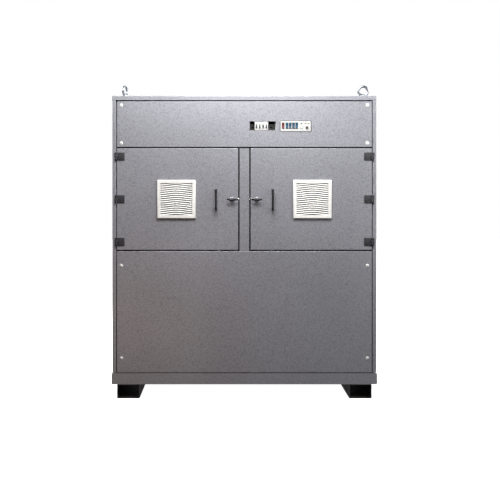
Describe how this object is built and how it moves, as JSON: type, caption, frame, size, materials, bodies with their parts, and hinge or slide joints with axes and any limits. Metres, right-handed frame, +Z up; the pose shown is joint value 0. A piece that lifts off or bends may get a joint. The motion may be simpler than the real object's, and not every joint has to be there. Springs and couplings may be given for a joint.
{
  "type": "transformer cabinet",
  "caption": "Floor-standing sheet-steel transformer cabinet with hinged fan doors, wing latches, breaker window, switch panel, lifting eyes and a fork-pocket skid.",
  "frame": {"origin": "on the floor, under the middle of the whole object's bounding box", "axes": "+X to the right seen from the front, -Y towards the doors, +Z up"},
  "size_m": [1.404, 0.834, 1.662],
  "materials": {
    "cabinet_paint": "hammertone powder coat, satin",
    "skid_paint": "black paint, satin",
    "zinc_steel": "bright zinc plate",
    "seal_foam": "foamed sealing strip, matt",
    "hinge_black": "black powder coat",
    "handle_black": "moulded polyamide",
    "chrome": "chrome plate",
    "grille_plastic": "moulded light grey ABS",
    "filter_fleece": "needled fleece",
    "fan_plastic": "moulded glass-filled plastic",
    "breaker_plastic": "moulded light grey",
    "toggle_plastic": "moulded black",
    "switch_plate": "white plate in a dark rim",
    "rocker_red": "moulded, glossy",
    "rocker_blue": "moulded, glossy",
    "lamp_lens": "tinted lenses, unlit",
    "button_grey": "moulded, glossy",
    "selector_brown": "moulded, satin",
    "core_steel": "stacked laminations under varnish",
    "clamp_paint": "grey primer",
    "foil_winding": "foil, varnished",
    "cast_resin": "cast epoxy resin",
    "terminal_laminate": "laminate board, brass studs",
    "gland_steel": "zinc plate with nickel glands"
  },
  "bodies": {
    "cabinet": {"plinth_frame": "cabinet_paint", "floor_plate": "cabinet_paint", "top_frame": "cabinet_paint", "lid_cover": "cabinet_paint", "door_frame": "cabinet_paint", "top_panel": "cabinet_paint", "lower_panel": "cabinet_paint", "side_panel_left": "cabinet_paint", "side_panel_right": "cabinet_paint", "rear_panel": "cabinet_paint", "corner_post_front_left": "cabinet_paint", "corner_post_front_right": "cabinet_paint", "corner_post_rear_left": "cabinet_paint", "corner_post_rear_right": "cabinet_paint", "skid_runner_left": "skid_paint", "skid_runner_right": "skid_paint", "lifting_eye_front_left": "zinc_steel", "lifting_eye_front_right": "zinc_steel", "lifting_eye_rear_left": "zinc_steel", "lifting_eye_rear_right": "zinc_steel", "panel_screws": "zinc_steel", "din_rail": "zinc_steel", "hinge_frame_leaves": "hinge_black", "breaker_body": "breaker_plastic", "switch_panel": "switch_plate", "indicator_lamps": "lamp_lens", "transformer_core": "core_steel", "core_clamps": "clamp_paint", "lv_windings": "foil_winding", "hv_windings": "cast_resin", "terminal_board": "terminal_laminate", "gland_plate": "gland_steel"},
    "door_left": {"door_left": "cabinet_paint", "door_seal_left": "seal_foam", "hinge_door_leaves_left": "hinge_black", "pull_handle_left": "handle_black", "latch_housing_left": "chrome", "fan_housing_left": "fan_plastic", "filter_mat_left": "filter_fleece"},
    "latch_left": {"latch_knob_left": "handle_black"},
    "grille_flap_left": {"grille_left": "grille_plastic"},
    "rotor_left": {"fan_rotor_left": "fan_plastic"},
    "door_right": {"door_right": "cabinet_paint", "door_seal_right": "seal_foam", "hinge_door_leaves_right": "hinge_black", "pull_handle_right": "handle_black", "latch_housing_right": "chrome", "fan_housing_right": "fan_plastic", "filter_mat_right": "filter_fleece"},
    "latch_right": {"latch_knob_right": "handle_black"},
    "grille_flap_right": {"grille_right": "grille_plastic"},
    "rotor_right": {"fan_rotor_right": "fan_plastic"},
    "toggle": {"breaker_toggle": "toggle_plastic"},
    "rocker_red_key": {"rocker_red": "rocker_red"},
    "rocker_blue_1_key": {"rocker_blue_1": "rocker_blue"},
    "rocker_blue_2_key": {"rocker_blue_2": "rocker_blue"},
    "rocker_blue_3_key": {"rocker_blue_3": "rocker_blue"},
    "rocker_blue_4_key": {"rocker_blue_4": "rocker_blue"},
    "selector": {"selector_knob": "selector_brown"},
    "button": {"push_button": "button_grey"}
  },
  "joints": [
    {"name": "door_left_hinge", "type": "hinge", "parent": "cabinet", "child": "door_left", "pos_m": [-0.6765, -0.389, 1.0535], "axis": [0, 0, -1], "range_deg": [0, 120]},
    {"name": "latch_left_turn", "type": "hinge", "parent": "door_left", "child": "latch_left", "pos_m": [-0.0655, -0.383, 1.051], "axis": [0, 1, 0], "range_deg": [0, 90]},
    {"name": "grille_left_flap", "type": "hinge", "parent": "door_left", "child": "grille_flap_left", "pos_m": [-0.359, -0.3861, 0.951], "axis": [1, 0, 0], "range_deg": [0, 75]},
    {"name": "fan_left_spin", "type": "hinge", "parent": "door_left", "child": "rotor_left", "pos_m": [-0.359, -0.313, 1.053], "axis": [0, 1, 0], "continuous": true},
    {"name": "door_right_hinge", "type": "hinge", "parent": "cabinet", "child": "door_right", "pos_m": [0.6765, -0.389, 1.0535], "axis": [0, 0, 1], "range_deg": [0, 120]},
    {"name": "latch_right_turn", "type": "hinge", "parent": "door_right", "child": "latch_right", "pos_m": [0.0655, -0.383, 1.051], "axis": [0, -1, 0], "range_deg": [0, 90]},
    {"name": "grille_right_flap", "type": "hinge", "parent": "door_right", "child": "grille_flap_right", "pos_m": [0.359, -0.3861, 0.951], "axis": [1, 0, 0], "range_deg": [0, 75]},
    {"name": "fan_right_spin", "type": "hinge", "parent": "door_right", "child": "rotor_right", "pos_m": [0.359, -0.313, 1.053], "axis": [0, 1, 0], "continuous": true},
    {"name": "breaker_toggle_swing", "type": "hinge", "parent": "cabinet", "child": "toggle", "pos_m": [0.09, -0.375, 1.436], "axis": [-1, 0, 0], "range_deg": [0, 40]},
    {"name": "rocker_red_tilt", "type": "hinge", "parent": "cabinet", "child": "rocker_red_key", "pos_m": [0.2046, -0.384, 1.441], "axis": [1, 0, 0], "range_deg": [0, 16]},
    {"name": "rocker_blue_1_tilt", "type": "hinge", "parent": "cabinet", "child": "rocker_blue_1_key", "pos_m": [0.2254, -0.384, 1.441], "axis": [1, 0, 0], "range_deg": [0, 16]},
    {"name": "rocker_blue_2_tilt", "type": "hinge", "parent": "cabinet", "child": "rocker_blue_2_key", "pos_m": [0.2424, -0.384, 1.441], "axis": [1, 0, 0], "range_deg": [0, 16]},
    {"name": "rocker_blue_3_tilt", "type": "hinge", "parent": "cabinet", "child": "rocker_blue_3_key", "pos_m": [0.2594, -0.384, 1.441], "axis": [1, 0, 0], "range_deg": [0, 16]},
    {"name": "rocker_blue_4_tilt", "type": "hinge", "parent": "cabinet", "child": "rocker_blue_4_key", "pos_m": [0.2764, -0.384, 1.441], "axis": [1, 0, 0], "range_deg": [0, 16]},
    {"name": "selector_turn", "type": "hinge", "parent": "cabinet", "child": "selector", "pos_m": [0.331, -0.383, 1.431], "axis": [0, 1, 0], "range_deg": [-45, 45]},
    {"name": "button_press", "type": "slide", "parent": "cabinet", "child": "button", "axis": [0, 1, 0], "range_m": [0, 0.003], "stiffness_N_per_m": 400, "springref_m": -0.001}
  ]
}
